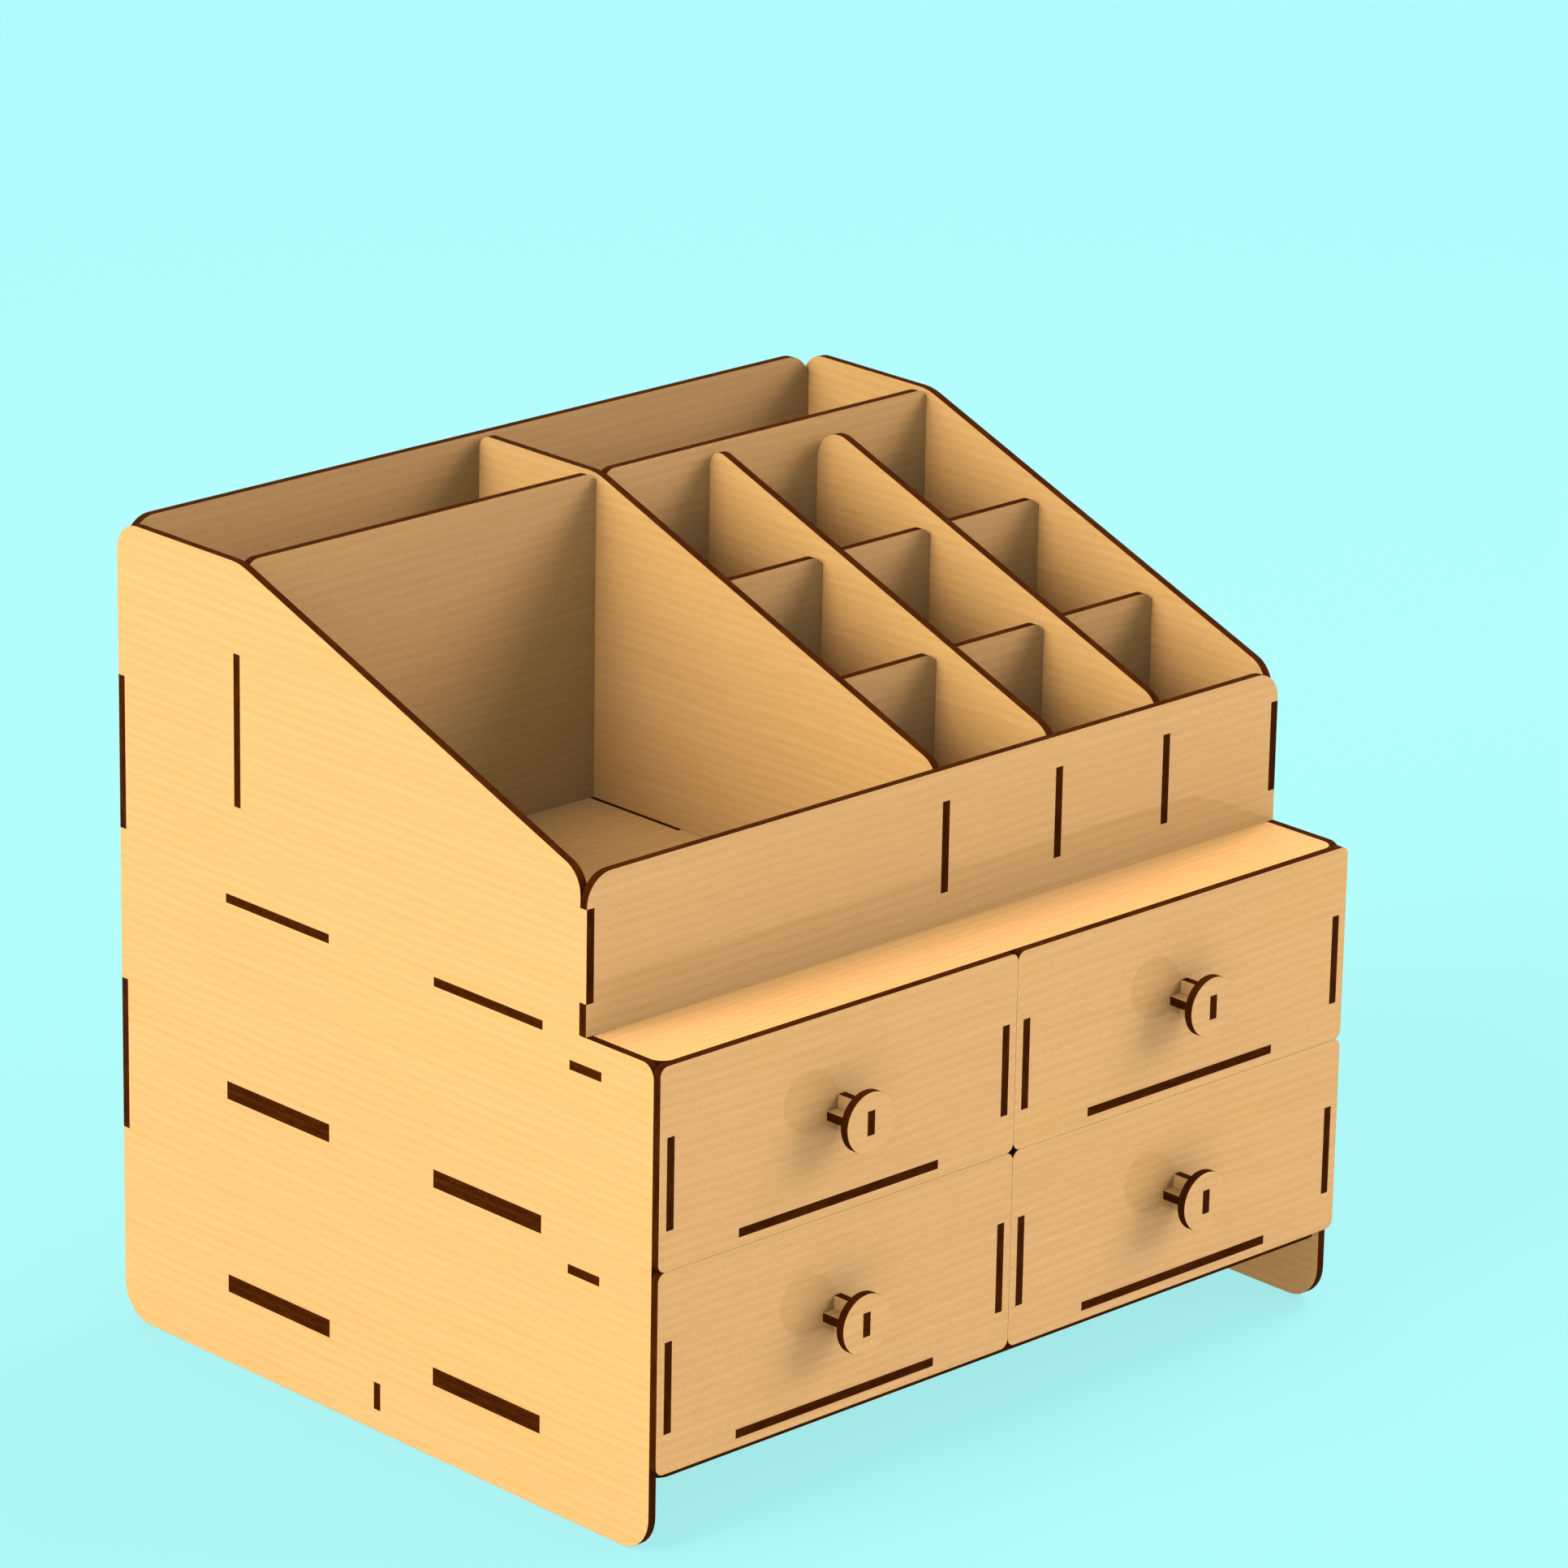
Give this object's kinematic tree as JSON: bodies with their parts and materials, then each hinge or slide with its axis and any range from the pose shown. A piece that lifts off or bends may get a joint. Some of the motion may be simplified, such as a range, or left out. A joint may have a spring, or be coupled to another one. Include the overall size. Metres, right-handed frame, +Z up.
{
  "type": "hobby workstation organizer",
  "caption": "Plywood desktop organizer: an open rack with a tool tray, file slots and small cells over sliding drawers with round knobs.",
  "frame": {"origin": "on the resting surface, under the middle of the bounding box", "axes": "+Z up, -Y towards the drawer fronts, +X to the right seen from the front"},
  "size_m": [0.306, 0.271, 0.2746],
  "materials": {
    "plywood": "pale veneer faces with dark laser-cut edges"
  },
  "bodies": {
    "carcass": {"left_side": "plywood", "right_side": "plywood", "back_panel": "plywood", "deck": "plywood", "tray_front": "plywood", "middle_divider": "plywood", "inner_bay_divider": "plywood", "outer_bay_divider": "plywood", "knee_partition": "plywood", "front_cross_divider": "plywood", "rear_cross_divider": "plywood", "mid_shelf_upper": "plywood", "mid_shelf_lower": "plywood", "bottom_shelf_upper": "plywood", "bottom_shelf_lower": "plywood", "upper_left_partition": "plywood", "upper_right_partition": "plywood", "lower_left_partition": "plywood", "lower_right_partition": "plywood", "upper_keeper_rail": "plywood", "lower_keeper_rail": "plywood", "foot_stretcher": "plywood"},
    "upper_left_drawer": {"upper_left_drawer_front": "plywood", "upper_left_drawer_left_side": "plywood", "upper_left_drawer_right_side": "plywood", "upper_left_drawer_back": "plywood", "upper_left_drawer_floor": "plywood", "upper_left_drawer_knob_disc": "plywood", "upper_left_drawer_knob_upright_web": "plywood", "upper_left_drawer_knob_flat_web": "plywood"},
    "upper_right_drawer": {"upper_right_drawer_front": "plywood", "upper_right_drawer_left_side": "plywood", "upper_right_drawer_right_side": "plywood", "upper_right_drawer_back": "plywood", "upper_right_drawer_floor": "plywood", "upper_right_drawer_knob_disc": "plywood", "upper_right_drawer_knob_upright_web": "plywood", "upper_right_drawer_knob_flat_web": "plywood"},
    "lower_left_drawer": {"lower_left_drawer_front": "plywood", "lower_left_drawer_left_side": "plywood", "lower_left_drawer_right_side": "plywood", "lower_left_drawer_back": "plywood", "lower_left_drawer_floor": "plywood", "lower_left_drawer_knob_disc": "plywood", "lower_left_drawer_knob_upright_web": "plywood", "lower_left_drawer_knob_flat_web": "plywood"},
    "lower_right_drawer": {"lower_right_drawer_front": "plywood", "lower_right_drawer_left_side": "plywood", "lower_right_drawer_right_side": "plywood", "lower_right_drawer_back": "plywood", "lower_right_drawer_floor": "plywood", "lower_right_drawer_knob_disc": "plywood", "lower_right_drawer_knob_upright_web": "plywood", "lower_right_drawer_knob_flat_web": "plywood"}
  },
  "joints": [
    {"name": "upper_left_drawer_slide", "type": "slide", "parent": "carcass", "child": "upper_left_drawer", "axis": [0, -1, 0], "range_m": [0, 0.192]},
    {"name": "upper_right_drawer_slide", "type": "slide", "parent": "carcass", "child": "upper_right_drawer", "axis": [0, -1, 0], "range_m": [0, 0.192]},
    {"name": "lower_left_drawer_slide", "type": "slide", "parent": "carcass", "child": "lower_left_drawer", "axis": [0, -1, 0], "range_m": [0, 0.192]},
    {"name": "lower_right_drawer_slide", "type": "slide", "parent": "carcass", "child": "lower_right_drawer", "axis": [0, -1, 0], "range_m": [0, 0.192]}
  ]
}
